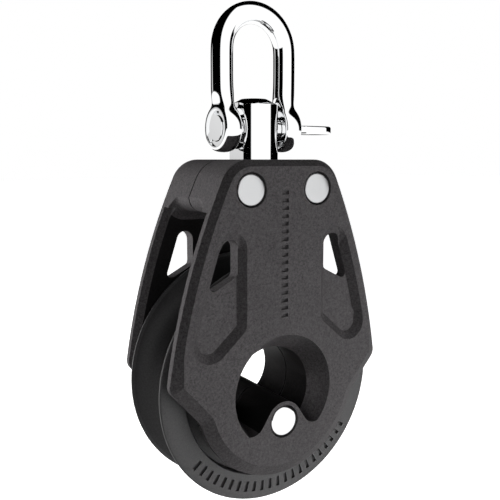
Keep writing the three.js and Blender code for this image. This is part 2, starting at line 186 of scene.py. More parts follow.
def finishPiece(piece, name, body, nodes, materials, edge=0.0, smooth=30, placing=None):
    # cleans the mesh, puts it into the frame, softens its edges, names it, hangs it on its body and hides the
    # CAD parts it replaces
    bm = bmesh.new()
    bm.from_mesh(piece.data)
    bmesh.ops.remove_doubles(bm, verts=bm.verts, dist=mergeGap["piece"])
    bmesh.ops.dissolve_degenerate(bm, edges=bm.edges, dist=mergeGap["piece"])
    bmesh.ops.recalc_face_normals(bm, faces=bm.faces)
    bmesh.ops.transform(bm, matrix=toFrame @ (placing or Matrix()), verts=bm.verts)
    mesh = bpy.data.meshes.new(name)
    bm.to_mesh(mesh)
    bm.free()
    old = piece.data
    piece.data = mesh
    bpy.data.meshes.remove(old)
    piece.name = name
    for polygon in mesh.polygons:
        polygon.use_smooth = True
    if edge:
        soften = piece.modifiers.new("softEdges", "BEVEL")
        soften.width = edge * 0.001
        soften.segments = 2
        soften.limit_method = "ANGLE"
        soften.angle_limit = radians(smooth)
        even = piece.modifiers.new("evenNormals", "WEIGHTED_NORMAL")
        even.mode = "FACE_AREA"
        even.weight = 100
    else:
        mesh.set_sharp_from_angle(angle=radians(smooth))
    for material in materials:
        mesh.materials.append(material)
    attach(piece, body)
    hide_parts(*nodes)
    return piece


# Shader building
def nodeGroup(name, inputs, outputs):
    group = bpy.data.node_groups.new(name, "ShaderNodeTree")
    for label, kind, value in inputs:
        made = group.interface.new_socket(name=label, in_out="INPUT", socket_type=kind)
        made.default_value = value
    for label, kind in outputs:
        group.interface.new_socket(name=label, in_out="OUTPUT", socket_type=kind)
    return group, group.nodes.new("NodeGroupInput"), group.nodes.new("NodeGroupOutput")


def addNode(tree, kind, **settings):
    node = tree.nodes.new(kind)
    for key, value in settings.items():
        setattr(node, key, value)
    return node


def addMath(tree, how, a, b=None, c=None, clamp=False):
    node = addNode(tree, "ShaderNodeMath", operation=how, use_clamp=clamp)
    for i, value in enumerate((a, b, c)):
        if value is None:
            continue
        if hasattr(value, "links"):
            tree.links.new(value, node.inputs[i])
        else:
            node.inputs[i].default_value = value
    return node.outputs[0]


def addNoise(tree, place, scale, detail, rough=0.55):
    node = addNode(tree, "ShaderNodeTexNoise")
    tree.links.new(place, node.inputs["Vector"])
    if hasattr(scale, "links"):
        tree.links.new(scale, node.inputs["Scale"])
    else:
        node.inputs["Scale"].default_value = scale
    node.inputs["Detail"].default_value = detail
    node.inputs["Roughness"].default_value = rough
    return node.outputs[0]


reliefDepth = {"grain": 0.00006, "polish": 0.00001, "edge": 0.00028}
grainMix = {"coarse": 0.55, "drift": 0.22, "fineHeight": 0.7, "coarseHeight": 0.3, "patchFrom": 0.25}


def centred(tree, value, amount):
    # swings a 0 to 1 noise about 0, scaled
    return addMath(tree, "MULTIPLY", addMath(tree, "SUBTRACT", value, 0.5), amount)


def makeGrainGroup():
    # moulded grain: fine mottling, slow shade drift, and a height for the bump
    g = grainMix
    group, given, made = nodeGroup(
        "mouldedGrain",
        [("Place", "NodeSocketVector", (0, 0, 0)), ("Grain Scale", "NodeSocketFloat", 4000.0),
         ("Drift Scale", "NodeSocketFloat", 90.0), ("Mottle", "NodeSocketFloat", 0.3)],
        [("Shade", "NodeSocketFloat"), ("Height", "NodeSocketFloat"), ("Edge Patches", "NodeSocketFloat")])
    place, mottle = given.outputs["Place"], given.outputs["Mottle"]
    fine = addNoise(group, place, given.outputs["Grain Scale"], 3.0, 0.6)
    drift = addNoise(group, place, given.outputs["Drift Scale"], 2.0)
    coarseScale = addMath(group, "MULTIPLY", given.outputs["Grain Scale"], g["coarse"])
    coarse = addNoise(group, place, coarseScale, 2.0)
    speckle = addMath(group, "ADD", centred(group, fine, mottle), centred(group, coarse, mottle))
    total = addMath(group, "ADD", speckle, centred(group, drift, g["drift"]))
    group.links.new(addMath(group, "ADD", total, 1.0), made.inputs["Shade"])
    height = addMath(group, "ADD", addMath(group, "MULTIPLY", fine, g["fineHeight"]),
                     addMath(group, "MULTIPLY", coarse, g["coarseHeight"]))
    group.links.new(height, made.inputs["Height"])
    group.links.new(addMath(group, "SUBTRACT", drift, g["patchFrom"], clamp=True), made.inputs["Edge Patches"])
    return group


def makeEdgeGroup():
    # mask that is 1 along sharp edges and 0 on open faces
    group, given, made = nodeGroup(
        "edgeMask", [("Strength", "NodeSocketFloat", 6.0)], [("Mask", "NodeSocketFloat")])
    soft = addNode(group, "ShaderNodeBevel", samples=6)
    soft.inputs["Radius"].default_value = reliefDepth["edge"]
    true = addNode(group, "ShaderNodeNewGeometry")
    dot = addNode(group, "ShaderNodeVectorMath", operation="DOT_PRODUCT")
    group.links.new(soft.outputs[0], dot.inputs[0])
    group.links.new(true.outputs["Normal"], dot.inputs[1])
    lack = addMath(group, "SUBTRACT", 1.0, dot.outputs["Value"])
    mask = addMath(group, "MULTIPLY", lack, given.outputs["Strength"], clamp=True)
    group.links.new(mask, made.inputs["Mask"])
    return group


def makeBrushGroup():
    # faint polishing marks and fingerprints on bright metal
    group, given, made = nodeGroup(
        "polishMarks",
        [("Place", "NodeSocketVector", (0, 0, 0)), ("Scale", "NodeSocketFloat", 500.0),
         ("Stretch", "NodeSocketVector", (1, 1, 1))],
        [("Marks", "NodeSocketFloat"), ("Smear", "NodeSocketFloat")])
    pulled = addNode(group, "ShaderNodeVectorMath", operation="MULTIPLY")
    group.links.new(given.outputs["Place"], pulled.inputs[0])
    group.links.new(given.outputs["Stretch"], pulled.inputs[1])
    marks = addNoise(group, pulled.outputs[0], given.outputs["Scale"], 4.0, 0.6)
    group.links.new(marks, made.inputs["Marks"])
    smear = addNoise(group, given.outputs["Place"], 160.0, 3.0)
    group.links.new(addMath(group, "SUBTRACT", smear, 0.45, clamp=True), made.inputs["Smear"])
    return group


grainGroup = makeGrainGroup()
edgeGroup = makeEdgeGroup()
brushGroup = makeBrushGroup()


def newMaterial(name):
    material = bpy.data.materials.new(name)
    material.use_nodes = True
    tree = material.node_tree
    shader = tree.nodes["Principled BSDF"]
    place = addNode(tree, "ShaderNodeTexCoord").outputs["Object"]
    return material, tree, shader, place


def groupNode(tree, group, values):
    node = addNode(tree, "ShaderNodeGroup", node_tree=group)
    for key, value in values.items():
        node.inputs[key].default_value = value
    return node


def mixColour(tree, amount, low, high):
    node = addNode(tree, "ShaderNodeMix", data_type="RGBA")
    tree.links.new(amount, node.inputs[0])
    for socket, value in ((node.inputs[6], low), (node.inputs[7], high)):
        if hasattr(value, "links"):
            tree.links.new(value, socket)
        else:
            socket.default_value = (*value, 1)
    return node.outputs[2]


def addBump(tree, shader, height, strength, distance):
    bump = addNode(tree, "ShaderNodeBump")
    bump.inputs["Strength"].default_value = strength
    bump.inputs["Distance"].default_value = distance
    tree.links.new(height, bump.inputs["Height"])
    tree.links.new(bump.outputs[0], shader.inputs["Normal"])


def plasticMaterial(name, look):
    # dull grained plastic, paler in patches along its sharp edges
    material, tree, shader, place = newMaterial(name)
    grain = groupNode(tree, grainGroup, {"Grain Scale": look["grain"], "Drift Scale": look["drift"],
                                         "Mottle": look["mottle"]})
    tree.links.new(place, grain.inputs["Place"])
    edge = groupNode(tree, edgeGroup, {"Strength": look["edgeStrength"]})
    shaded = addNode(tree, "ShaderNodeVectorMath", operation="SCALE")
    shaded.inputs[0].default_value = look["colour"]
    tree.links.new(grain.outputs["Shade"], shaded.inputs["Scale"])
    paleEdges = addMath(tree, "MULTIPLY", edge.outputs["Mask"], grain.outputs["Edge Patches"])
    tone = mixColour(tree, paleEdges, shaded.outputs[0], look["paleEdgeColour"])
    tree.links.new(tone, shader.inputs["Base Color"])
    rough = addMath(tree, "ADD", addMath(tree, "MULTIPLY", grain.outputs["Height"], look["roughSpread"]),
                    look["roughness"] - look["roughSpread"] / 2)
    tree.links.new(rough, shader.inputs["Roughness"])
    addBump(tree, shader, grain.outputs["Height"], look["bump"], reliefDepth["grain"])
    shader.inputs["Specular IOR Level"].default_value = look["specular"]
    return material


def steelMaterial(name, look):
    # bright stainless steel with polishing marks and faint smears
    material, tree, shader, place = newMaterial(name)
    marks = groupNode(tree, brushGroup, {"Scale": look["markScale"], "Stretch": look["stretch"]})
    tree.links.new(place, marks.inputs["Place"])
    tone = mixColour(tree, marks.outputs["Smear"], look["colour"], look["smearColour"])
    tree.links.new(tone, shader.inputs["Base Color"])
    rough = addMath(tree, "ADD", addMath(tree, "MULTIPLY", marks.outputs["Marks"], look["roughSpread"]),
                    look["roughness"])
    tree.links.new(rough, shader.inputs["Roughness"])
    addBump(tree, shader, marks.outputs["Marks"], look["bump"], reliefDepth["polish"])
    shader.inputs["Metallic"].default_value = 1.0
    return material


cheekLook = {"colour": (0.062, 0.058, 0.060), "paleEdgeColour": (0.13, 0.125, 0.128), "grain": 5200.0,
             "drift": 110.0, "mottle": 1.5, "edgeStrength": 5.0, "roughness": 0.62, "roughSpread": 0.2,
             "bump": 0.35, "specular": 0.1}
# painted shade: a darker copy of the cheek's nylon for the inward faces and the eye's tunnel
paintedShadeLook = {**cheekLook, "colour": (0.0075, 0.007, 0.0072), "roughness": 0.45}
sheaveLook = {"colour": (0.046, 0.045, 0.046), "paleEdgeColour": (0.16, 0.158, 0.16), "grain": 6500.0,
              "drift": 140.0, "mottle": 0.8, "edgeStrength": 8.0, "roughness": 0.5, "roughSpread": 0.16,
              "bump": 0.2, "specular": 0.2}
# painted shade: a darker copy of the sheave's acetal for the groove and the recess's outer wall
paintedShadeGrooveLook = {**sheaveLook, "colour": (0.028, 0.0272, 0.028), "roughness": 0.42}
ballLook = {"colour": (0.78, 0.76, 0.7), "paleEdgeColour": (0.6, 0.58, 0.53), "grain": 2500.0,
            "drift": 300.0, "mottle": 0.08, "edgeStrength": 0.0, "roughness": 0.3, "roughSpread": 0.1,
            "bump": 0.05, "specular": 0.5}
polishedLook = {"colour": (0.9, 0.905, 0.91), "smearColour": (0.84, 0.845, 0.85), "markScale": 700.0,
                "stretch": (1, 1, 0.15), "roughness": 0.025, "roughSpread": 0.03, "bump": 0.02}
satinLook = {"colour": (0.59, 0.595, 0.60), "smearColour": (0.52, 0.525, 0.53), "markScale": 1400.0,
             "stretch": (1, 1, 1), "roughness": 0.24, "roughSpread": 0.16, "bump": 0.15}

filledNylon = plasticMaterial("filledNylon", cheekLook)
paintedShadeNylon = plasticMaterial("paintedShadeNylon", paintedShadeLook)
turnedAcetal = plasticMaterial("turnedAcetal", sheaveLook)
paintedShadeAcetal = plasticMaterial("paintedShadeAcetal", paintedShadeGrooveLook)
whiteAcetal = plasticMaterial("whiteAcetal", ballLook)
polishedSteel = steelMaterial("polishedSteel", polishedLook)
satinSteel = steelMaterial("satinSteel", satinLook)
print("materials made")


# Cheeks
cheekSize = {
    "face": -9.2, "shoulderY": -8.2, "stripY": -7.2, "innerY": -6.2, "parting": -0.15,
    "end": ((0, 0), 14.9), "tuckR": 3.0, "slope": radians(-41.2),
    "shoulder": ((17.57, 2.9), 2.0), "sideR": 110.0, "corner": ((6.1, 30.7), 5.0),
    "edge": 1.0, "wideEdge": 1.85, "wideBelow": 2.5, "narrowAbove": 9.0,
    "headFloor": 27.5, "headFillet": 2.7, "headRound": 2.4, "headStep": 0.5, "headSink": 0.6,
    "hub": (10.55, 0.4), "lip": (13.3, -4.2, 0.3), "soft": 0.14,
}
roomSize = {"low": -25, "past": 1.0, "filletSteps": 12, "flareSteps": 14}
pocketSize = {
    "top": ((9.6, 22.5), 2.6), "low": ((13.2, 8.7), 3.0), "cornerR": 2.0, "slope": radians(229),
    "land": 2.2, "depth": 1.0, "draft": 1.3, "rampTop": 25.4, "rampLong": 3.4,
}
windowSize = {"topInset": 1.15, "low": ((12.15, 17.05), 0.75), "cornerR": 1.0, "slope": radians(243),
              "from": -9.7, "deep": 4.5}
eyeSize = {
    "boreR": 7.9, "mouth": (-0.85, 9.15), "middle": (0.0, -1.2, 6.8),
    "frontThroat": (-5.2, -1.9, 7.4), "rearThroat": (-5.8, -0.6, 6.15),
    "boss": ((0, -5.9), 3.3), "flank": radians(33), "troughR": 2.3,
    "past": 0.8, "clear": 0.4, "steps": 120, "outlineFrom": -10.2, "outlineDeep": 10.5,
}
postRoom = {"wideR": 6.1, "low": 26.5, "neckFrom": 29.25, "neckR": 4.15, "high": 37}
markSize = {"top": 30.7, "count": 17, "pitch": 1.2, "long": 0.6, "wide": 1.3, "deep": 0.35, "x": -0.1}
rivetSize = {
    "seatR": 2.68, "seatY": -8.0, "headR": 2.38, "headY": 9.2, "headT": 1.05, "rim": 0.22, "shankR": 1.5,
    "crown": 0.02, "play": 0.15,
}
rivets = {
    "headRivetLeft": {"node": "head_rivet_left", "x": -6.15, "z": 31.2, "finish": satinSteel},
    "headRivetRight": {"node": "head_rivet_right", "x": 6.15, "z": 31.2, "finish": satinSteel},
    "hubRivet": {"node": "hub_rivet", "x": 0, "z": -5.9, "finish": polishedSteel},
}

# middle of the long arc down the cheek's side, and where that arc starts and ends
sideCentre = meetingPoint(cheekSize["shoulder"][0], cheekSize["sideR"] - cheekSize["shoulder"][1],
                          cheekSize["corner"][0], cheekSize["sideR"] - cheekSize["corner"][1])
lowSide = bearing(sideCentre, cheekSize["shoulder"][0])
highSide = bearing(sideCentre, cheekSize["corner"][0])


def cheekArcs():
    # outline: round lower end, a tuck, shoulder, long side and head corner
    c = cheekSize
    endCentre, endR = c["end"]
    shoulder, shoulderR = c["shoulder"]
    corner, cornerR = c["corner"]
    slope, tuckR = c["slope"], c["tuckR"]
    reach = shoulder[0] * cos(slope) + shoulder[1] * sin(slope) + shoulderR + tuckR
    tuck = pointOnLine(slope, reach, endCentre, endR + tuckR, 1)
    endAngle = bearing(endCentre, tuck)
    right = [(endCentre, endR, -pi / 2, endAngle),
             (tuck, tuckR, endAngle + pi, slope + pi),
             (shoulder, shoulderR, slope, lowSide),
             (sideCentre, c["sideR"], lowSide, highSide),
             (corner, cornerR, highSide, pi / 2)]
    return right + mirroredArcs(right)


def edgeWidth(z):
    # the chamfer is wider round the lower end than along the sides and head
    c = cheekSize
    t = min(1, max(0, (c["narrowAbove"] - z) / (c["narrowAbove"] - c["wideBelow"])))
    t = t * t * (3 - 2 * t)
    return c["edge"] + (c["wideEdge"] - c["edge"]) * t


def cheekPlate():
    c = cheekSize
    bm = bmesh.new()
    face = traceFace(bm, cheekArcs(), c["shoulderY"])
    pushCap(bm, face, c["face"] - c["shoulderY"], edgeWidth)
    back = pushCap(bm, face, c["stripY"] - c["shoulderY"])
    pushCap(bm, back, c["innerY"] - c["stripY"], c["edge"])
    return scratchObject(bm, "cheek")


def headBlock(low, inset):
    # solid head above a given height, to the parting line
    c = cheekSize
    corner, cornerR = c["corner"]
    sideR = c["sideR"] - inset
    drop = low - sideCentre[1]
    start = atan2(drop, sqrt(sideR ** 2 - drop ** 2))
    right = [(sideCentre, sideR, start, highSide), (corner, cornerR - inset, highSide, pi / 2)]
    bm = bmesh.new()
    face = traceFace(bm, right + mirroredArcs(right), c["shoulderY"] + inset)
    pushCap(bm, face, c["parting"] - c["shoulderY"] - inset)
    return scratchObject(bm)


def ropeSpace():
    # the room under the head: filleted to the cheek, and flared round at both sides for the rope
    c, room = cheekSize, roomSize
    floor, fillet, flare = c["headFloor"], c["headFillet"], c["headRound"]
    halfSpan = sideCentre[0] + sqrt(c["sideR"] ** 2 - (floor + flare - sideCentre[1]) ** 2) - flare
    bm = bmesh.new()
    start = bmesh.ops.create_vert(bm, co=(-halfSpan, c["innerY"], room["low"]))["vert"][0]
    wall = bmesh.ops.extrude_vert_indiv(bm, verts=[start])["verts"][0]
    wall.co.z = floor - fillet
    bend = bmesh.ops.spin(bm, geom=[wall], cent=(-halfSpan, c["innerY"] + fillet, floor - fillet),
                          axis=(-1, 0, 0), angle=pi / 2, steps=room["filletSteps"])
    roof = onlyOf(bmesh.types.BMVert, bend["geom_last"])[0]
    for y, z in ((room["past"], floor), (room["past"], room["low"])):
        roof = bmesh.ops.extrude_vert_indiv(bm, verts=[roof])["verts"][0]
        roof.co = (-halfSpan, y, z)
    bm.edges.new((roof, start))
    bmesh.ops.contextual_create(bm, geom=bm.edges[:])
    section = bm.faces[:][0]
    made = bmesh.ops.extrude_face_region(bm, geom=withRim([section]))
    bmesh.ops.translate(bm, vec=(2 * halfSpan, 0, 0), verts=onlyOf(bmesh.types.BMVert, made["geom"]))
    far = onlyOf(bmesh.types.BMFace, made["geom"])[0]
    for cap, side in ((section, -1), (far, 1)):
        bmesh.ops.spin(bm, geom=[cap] + cap.edges[:] + cap.verts[:],
                       cent=(side * halfSpan, 0, floor + flare), axis=(0, -1, 0),
                       angle=side * pi / 2, steps=room["flareSteps"])
    return scratchObject(bm)


def innerCorner(top, topR, low, lowR, cornerR, slope):
    # middle of the corner between the upright edge under top and the slanted edge under low
    nx, nz = cos(slope), sin(slope)
    reach = low[0] * nx + low[1] * nz + lowR
    x = top[0] - topR + cornerR
    return (x, (reach - cornerR - x * nx) / nz)


def pocketArcs():
    p = pocketSize
    (top, topR), (low, lowR) = p["top"], p["low"]
    corner = innerCorner(top, topR, low, lowR, p["cornerR"], p["slope"])
    topWay, lowWay = bearing(sideCentre, top), bearing(sideCentre, low)
    return [(top, topR, topWay, pi),
            (corner, p["cornerR"], pi, p["slope"]),
            (low, lowR, p["slope"], 2 * pi + lowWay),
            (sideCentre, cheekSize["sideR"] - p["land"], lowWay, topWay)]


def pocketTool():
    # the floor rises to the face in a ramp at the upper end
    p = pocketSize
    bm = bmesh.new()
    face = traceFace(bm, pocketArcs(), cheekSize["face"])
    pushCap(bm, face, p["depth"], p["draft"])
    pushCap(bm, face, -p["depth"], -p["draft"])
    cut = bmesh.ops.bisect_plane(bm, geom=bm.verts[:] + bm.edges[:] + bm.faces[:],
                                 plane_co=(0, cheekSize["face"], p["rampTop"]),
                                 plane_no=(0, p["rampLong"], p["depth"]), clear_outer=True)
    bmesh.ops.contextual_create(bm, geom=onlyOf(bmesh.types.BMEdge, cut["geom_cut"]))
    return bm


def windowTool():
    # slot through the upper part of the pocket's floor, with a slanted lower edge and round corners
    w = windowSize
    top, pocketR = pocketSize["top"]
    topR = pocketR - w["topInset"]
    low, lowR = w["low"]
    corner = innerCorner(top, topR, low, lowR, w["cornerR"], w["slope"])
    narrowing = asin((topR - lowR) / hypot(low[0] - top[0], low[1] - top[1]))
    lean = bearing(top, low) + pi / 2 - narrowing
    bm = bmesh.new()
    face = traceFace(bm, [(top, topR, lean, pi),
                          (corner, w["cornerR"], pi, w["slope"]),
                          (low, lowR, w["slope"], 2 * pi + lean)], w["from"])
    pushCap(bm, face, w["deep"])
    return bm


def eyeTool(throat):
    # leaning funnel through the hub, shaped by the outline with the rivet's boss and two troughs
    e, outer = eyeSize, cheekSize["face"]
    boss, bossR = e["boss"]
    mouthZ, mouthR = e["mouth"]
    flare = e["past"] / (throat[0] - outer)
    mouth = (outer - e["past"], mouthZ + (mouthZ - throat[1]) * flare, mouthR + (mouthR - throat[2]) * flare)
    bm = bmesh.new()
    rings = []
    for y, z, r in (mouth, throat, e["middle"]):
        ring = bmesh.ops.create_circle(bm, cap_ends=False, segments=e["steps"], radius=r,
                                       matrix=Matrix.Translation((0, y, z)) @ Matrix.Rotation(pi / 2, 4, "X"))
        rings.append(list({edge for v in ring["verts"] for edge in v.link_edges}))
    for a, b in zip(rings, rings[1:]):
        bmesh.ops.bridge_loops(bm, edges=a + b)
    for ring in (rings[0], rings[-1]):
        bmesh.ops.contextual_create(bm, geom=ring)
    funnel = scratchObject(bm)
    clearR = mouthR + e["clear"]
    flank, troughR = e["flank"], e["troughR"]
    reach = boss[0] * cos(flank) + boss[1] * sin(flank) + bossR + troughR
    trough = pointOnLine(flank, reach, (0, mouthZ), clearR - troughR, -1)
    side = bearing((0, mouthZ), trough)
    right = [(boss, bossR, pi / 2, flank), (trough, troughR, flank + pi, side + 2 * pi),
             ((0, mouthZ), clearR, side, pi / 2)]
    bm = bmesh.new()
    face = traceFace(bm, right + mirroredArcs(right), e["outlineFrom"])
    pushCap(bm, face, e["outlineDeep"])
    combine(funnel, scratchObject(bm), "INTERSECT")
    return funnel


def roundTool(r, x, z, y0, y1, steps):
    bm = latheSolid([(0, y0), (r, y0), (r, y1), (0, y1)], "Y", steps)
    bmesh.ops.translate(bm, vec=(x, 0, z), verts=bm.verts)
    return scratchObject(bm)


def postTool():
    # room for the swivel post: a wide chamber for its button and a neck up to the top
    r = postRoom
    profile = [(0, r["low"]), (r["wideR"], r["low"]), (r["wideR"], r["neckFrom"]), (r["neckR"], r["neckFrom"]),
               (r["neckR"], r["high"]), (0, r["high"])]
    return scratchObject(latheSolid(profile, "Z", 64))


def dashTool():
    # plain dashes down the middle of the face
    m = markSize
    dashes = bmesh.new()
    for i in range(m["count"]):
        addBox(dashes, (m["wide"], 2 * m["deep"], m["long"]),
               (m["x"], cheekSize["face"], m["top"] - i * m["pitch"]))
    return scratchObject(dashes)


def isShaded(face, throat):
    # the inward face and the eye's tunnel get painted shade: a darker copy of the plastic
    inward = face.normal.y > 0.9 and face.center.y > cheekSize["innerY"] - 0.1
    fromEye = hypot(face.center.x, face.center.z - throat[1])
    return inward or (fromEye < eyeSize["boreR"] and face.center.y > throat[0] + 0.05)


def makeCheek(name, node, throat, placing=None):
    c, outside = cheekSize, cheekSize["face"] - 1
    cheek = cheekPlate()
    for low, inset in ((c["headFloor"] + c["headStep"], 0),
                       (c["headFloor"] - c["headFillet"] - c["headSink"], c["edge"])):
        head = headBlock(low, inset)
        combine(head, ropeSpace())
        combine(cheek, head, "UNION")
    hubR, hubSink = c["hub"]
    lipR, lipY, lipSink = c["lip"]
    combine(cheek, roundTool(hubR, 0, 0, c["innerY"] - hubSink, c["parting"], 96), "UNION")
    combine(cheek, roundTool(lipR, 0, 0, c["innerY"] - lipSink, lipY, 96), "UNION")
    combine(cheek, eyeTool(throat))
    combine(cheek, postTool())
    for side in (1, -1):
        for bm in (pocketTool(), windowTool()):
            if side < 0:
                bmesh.ops.scale(bm, vec=(-1, 1, 1), verts=bm.verts)
            combine(cheek, scratchObject(bm))
    shankRoomR = rivetSize["shankR"] + rivetSize["play"]
    for rivet in rivets.values():
        combine(cheek, roundTool(rivetSize["seatR"], rivet["x"], rivet["z"], outside, rivetSize["seatY"], 48))
        combine(cheek, roundTool(shankRoomR, rivet["x"], rivet["z"], outside, 1, 24))
    combine(cheek, dashTool())
    # painted shade: inward faces and the eye's tunnel take the darker copy of the nylon
    for face in cheek.data.polygons:
        face.material_index = int(isShaded(face, throat))
    finishPiece(cheek, name, "block", [node], [filledNylon, paintedShadeNylon], edge=c["soft"], smooth=20,
                placing=placing)


makeCheek("frontCheek", "cheek_front", eyeSize["frontThroat"])
makeCheek("rearCheek", "cheek_rear", eyeSize["rearThroat"], turnRound)
print("cheeks made")


# Rivets
def makeRivet(name, rivet):
    # shank and two slightly domed heads, one in each cheek
    s = rivetSize
    r, top = s["headR"], s["headY"]
    under = top - s["headT"]
    half = [(0, top + s["crown"]), (r * 0.5, top + 0.75 * s["crown"]), (r - s["rim"] - 0.06, top),
            (r - 0.1, top - 0.08), (r, top - s["rim"]), (r, under), (s["shankR"], under)]
    bm = latheSolid(half + [(x, -y) for x, y in reversed(half)], "Y", 64)
    bmesh.ops.translate(bm, vec=(rivet["x"], 0, rivet["z"]), verts=bm.verts)
    finishPiece(scratchObject(bm), name, "block", [rivet["node"]], [rivet["finish"]], smooth=35)


for rivetName, rivet in rivets.items():
    makeRivet(rivetName, rivet)
print("rivets made")


# Sheave and balls
sheaveSize = {
    "r": 19.99, "half": 5.6, "grooveR": 5.2, "root": 15.3, "grooveSteps": 30,
    "recess": (15.75, 4.3), "recessFoot": 0.1, "recessEdge": 0.15, "track": 14.05,
    "rib": (13.0, 0.5), "lipR": 0.22, "steps": 360,
    "dashBand": (17.0, 18.7), "dashDeep": 0.35, "dashArc": (-142, -34), "dashLong": 2, "dashPitch": 5,
}
ballSize = {"fill": 0.985, "level": 3}


def isDash(face):
    # true for the flange faces that are sunk as plain dashes
    s = sheaveSize
    middle = face.calc_center_median()
    onFlange = abs(abs(middle.y) - s["half"]) < 1e-3
    if not (onFlange and s["dashBand"][0] < hypot(middle.x, middle.z) < s["dashBand"][1]):
        return False
    angle = degrees(atan2(middle.z, middle.x))
    start, end = s["dashArc"]
    step = int((angle - start) * s["steps"] / 360)
    return start < angle < end and step % s["dashPitch"] < s["dashLong"]


def makeSheave():
    s = sheaveSize
    half, (recessR, recessY) = s["half"], s["recess"]
    drop = s["root"] + s["grooveR"] - s["r"]
    mouth = atan2(drop, sqrt(s["grooveR"] ** 2 - drop ** 2))
    turns = [mouth + (pi - 2 * mouth) * i / s["grooveSteps"] for i in range(s["grooveSteps"] + 1)]
    groove = [(s["root"] + s["grooveR"] * (1 - sin(a)), -s["grooveR"] * cos(a)) for a in turns]
    outer = [s["rib"], (s["track"], s["rib"][1]), (s["track"], recessY),
             (recessR - s["recessFoot"], recessY), (recessR, recessY + s["recessFoot"]),
             (recessR, half - s["recessEdge"]), (recessR + s["recessEdge"], half),
             (s["dashBand"][0], half), (s["dashBand"][1], half)]
    outer += roundCorner((s["r"] - s["lipR"], half - s["lipR"]), s["lipR"], 90, -10, 5)
    profile = [(r, -y) for r, y in outer] + groove + outer[::-1]
    bm = latheSolid(profile + profile[:1], "Y", s["steps"])
    dashes = [face for face in bm.faces if isDash(face)]
    sunk = bmesh.ops.extrude_face_region(bm, geom=withRim(dashes))
    for vert in onlyOf(bmesh.types.BMVert, sunk["geom"]):
        vert.co.y -= s["dashDeep"] * (1 if vert.co.y > 0 else -1)
    wheel = scratchObject(bm)
    # painted shade: the groove and the recess's outer wall take the darker copy of the acetal
    for face in wheel.data.polygons:
        r = hypot(face.center.x, face.center.z)
        inGroove = s["root"] - 0.2 < r < s["r"] - 0.3 and abs(face.center.y) < s["grooveR"] - 0.05
        face.material_index = int(inGroove)
    finishPiece(wheel, "sheaveWheel", "sheave", ["sheave"], [turnedAcetal, paintedShadeAcetal], smooth=28)


def makeBalls():
    # one ball in the middle of each ball's place in the frame
    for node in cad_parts:
        if not node.startswith("ball_"):
            continue
        low, high = (Vector(corner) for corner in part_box(node))
        bm = bmesh.new()
        bmesh.ops.create_icosphere(bm, subdivisions=ballSize["level"],
                                   radius=(high.z - low.z) / 2 * ballSize["fill"])
        bmesh.ops.translate(bm, vec=(low + high) / 2, verts=bm.verts)
        bmesh.ops.transform(bm, matrix=toFrame.inverted(), verts=bm.verts)
        _, row, number = node.split("_")
        finishPiece(scratchObject(bm), f"ball.{row}.{number}", "balls", [node], [whiteAcetal],
                    smooth=180)


makeSheave()
makeBalls()
print("sheave and balls made")


# Swivel post
postSize = {
    "r": 3.93, "top": 45.3, "topR": 2.1, "cone": 0.95, "flat": 3.3, "flatFrom": 34.6, "flatTool": (4, 20, 20),
    "dish": 0.45, "dishR": 13.0, "dishReach": 3.6, "dishSteps": 8, "dishPast": 5,
    "button": (5.6, 27.5, 28.5), "buttonEdge": 0.6,
}
washerSize = {"inner": 4.15, "outer": 5.7, "low": 28.65, "high": 29.1}
pinSize = {
    "z": 40.6, "r": 2.0, "boreR": 2.12, "tip": -7.12,
    "tabFrom": 7.35, "tabEnd": 15.2, "tabWide": 5.6, "tabTaper": 1.2, "tabThick": 1.3, "tabSoft": 0.3,
    "tabCornerR": 0.4, "tabRootR": 0.1, "hole": (12.6, 1.1),
    "keyReach": 2.75, "keyWide": 1.4, "keyThick": 0.2, "keyAngle": radians(-36),
}


def alongPin(r, x0, x1, steps=64):
    # round bar on the shackle pin's axis
    bm = latheSolid([(0, x0), (r, x0), (r, x1), (0, x1)], "X", steps)
    bmesh.ops.translate(bm, vec=(0, 0, pinSize["z"]), verts=bm.verts)
    return bm


def dishTool(side):
    # shallow bowl that clears the shackle's ear
    p = postSize
    rise = p["dishR"] - sqrt(p["dishR"] ** 2 - p["dishReach"] ** 2)
    sweep = atan2(p["dishReach"], p["dishR"] - rise)
    turns = [sweep * i / p["dishSteps"] for i in range(p["dishSteps"] + 1)]
    bowl = [(p["dishR"] * sin(a), p["flat"] - p["dish"] + p["dishR"] * (1 - cos(a))) for a in turns]
    bm = latheSolid(bowl + [(p["dishReach"], p["dishPast"]), (0, p["dishPast"])], "X", 96)
    if side < 0:
        bmesh.ops.transform(bm, matrix=turnRound, verts=bm.verts)
    bmesh.ops.translate(bm, vec=(0, 0, pinSize["z"]), verts=bm.verts)
    return scratchObject(bm)


def makePost():
    p = postSize
    buttonR, buttonLow, buttonHigh = p["button"]
    profile = [(0, buttonLow), (buttonR - p["buttonEdge"], buttonLow), (buttonR, buttonLow + p["buttonEdge"]),
               (buttonR, buttonHigh), (p["r"], buttonHigh), (p["r"], p["top"] - p["cone"]),
               (p["topR"], p["top"]), (0, p["top"])]
    post = scratchObject(latheSolid(profile, "Z", 128))
    wide, _, high = p["flatTool"]
    for side in (1, -1):
        centre = (side * (p["flat"] + wide / 2), 0, p["flatFrom"] + high / 2)
        combine(post, scratchObject(addBox(bmesh.new(), p["flatTool"], centre)))
        combine(post, dishTool(side))
    combine(post, scratchObject(alongPin(pinSize["boreR"], -5, 5)))
    finishPiece(post, "swivelPost", "swivel", ["swivel_post"], [polishedSteel], edge=0.08, smooth=20)


def makeWasher():
    w = washerSize
    ring = [(w["inner"], w["low"]), (w["outer"], w["low"]), (w["outer"], w["high"]), (w["inner"], w["high"])]
    bm = latheSolid(ring + ring[:1], "Z", 64)
    finishPiece(scratchObject(bm), "thrustWasher", "swivel", ["thrust_washer"], [whiteAcetal])


makePost()
makeWasher()
print("post made")


